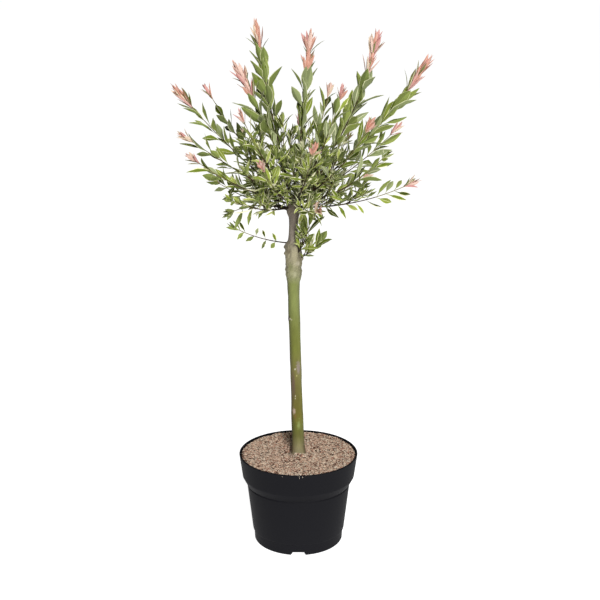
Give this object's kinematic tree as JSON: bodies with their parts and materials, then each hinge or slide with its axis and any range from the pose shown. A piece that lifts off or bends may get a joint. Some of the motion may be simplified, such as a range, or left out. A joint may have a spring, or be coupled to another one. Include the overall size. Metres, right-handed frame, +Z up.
{
  "type": "potted flamingo dappled willow",
  "caption": "Grafted standard willow in a round black nursery pot: bare green stem, knobbly graft union and an open upright crown of thin shoots with green leaves and pink tips.",
  "frame": {"origin": "centre of the pot's flat underside, on the surface it stands on", "axes": "+Z straight up, -Y towards the viewer of the picture, +X to the right"},
  "size_m": [0.3578, 0.3321, 0.7474],
  "materials": {
    "pot": "moulded matte black polypropylene",
    "soil": "reddish-tan wood fibre and bark mulch",
    "bark": "olive green young bark with grey-brown patches",
    "foliage": "satin green leaves with pink and cream tips"
  },
  "bodies": {
    "root": {"pot": "pot", "soil": "soil", "trunk": "bark", "bough_low_right": "bark", "bough_low_right_front": "bark", "bough_low_left_front": "bark", "bough_low_left": "bark", "bough_low_left_back": "bark", "bough_low_right_back": "bark", "bough_mid_right": "bark", "bough_mid_right_front": "bark", "bough_mid_front_right": "bark", "bough_mid_front_left": "bark", "bough_mid_left_front": "bark", "bough_mid_left": "bark", "bough_mid_left_back": "bark", "bough_mid_back": "bark", "bough_mid_right_back": "bark", "bough_wide_left": "bark", "bough_wide_left_back": "bark", "bough_wide_right": "bark", "bough_wide_right_front": "bark", "bough_wide_right_back": "bark", "bough_wide_front_left": "bark", "bough_high_left": "bark", "bough_high_left_front": "bark", "bough_high_left_back": "bark", "bough_high_middle": "bark", "bough_high_right": "bark", "bough_high_right_front": "bark", "foliage_low_right": "foliage", "foliage_low_right_front": "foliage", "foliage_low_left_front": "foliage", "foliage_low_left": "foliage", "foliage_low_left_back": "foliage", "foliage_low_right_back": "foliage", "foliage_mid_right": "foliage", "foliage_mid_right_front": "foliage", "foliage_mid_front_right": "foliage", "foliage_mid_front_left": "foliage", "foliage_mid_left_front": "foliage", "foliage_mid_left": "foliage", "foliage_mid_left_back": "foliage", "foliage_mid_back": "foliage", "foliage_mid_right_back": "foliage", "foliage_wide_left": "foliage", "foliage_wide_left_back": "foliage", "foliage_wide_right": "foliage", "foliage_wide_right_front": "foliage", "foliage_wide_right_back": "foliage", "foliage_wide_front_left": "foliage", "foliage_high_left": "foliage", "foliage_high_left_front": "foliage", "foliage_high_left_back": "foliage", "foliage_high_middle": "foliage", "foliage_high_right": "foliage", "foliage_high_right_front": "foliage", "foliage_union_left": "foliage", "foliage_union_right": "foliage", "foliage_union_right_low": "foliage"}
  },
  "joints": []
}
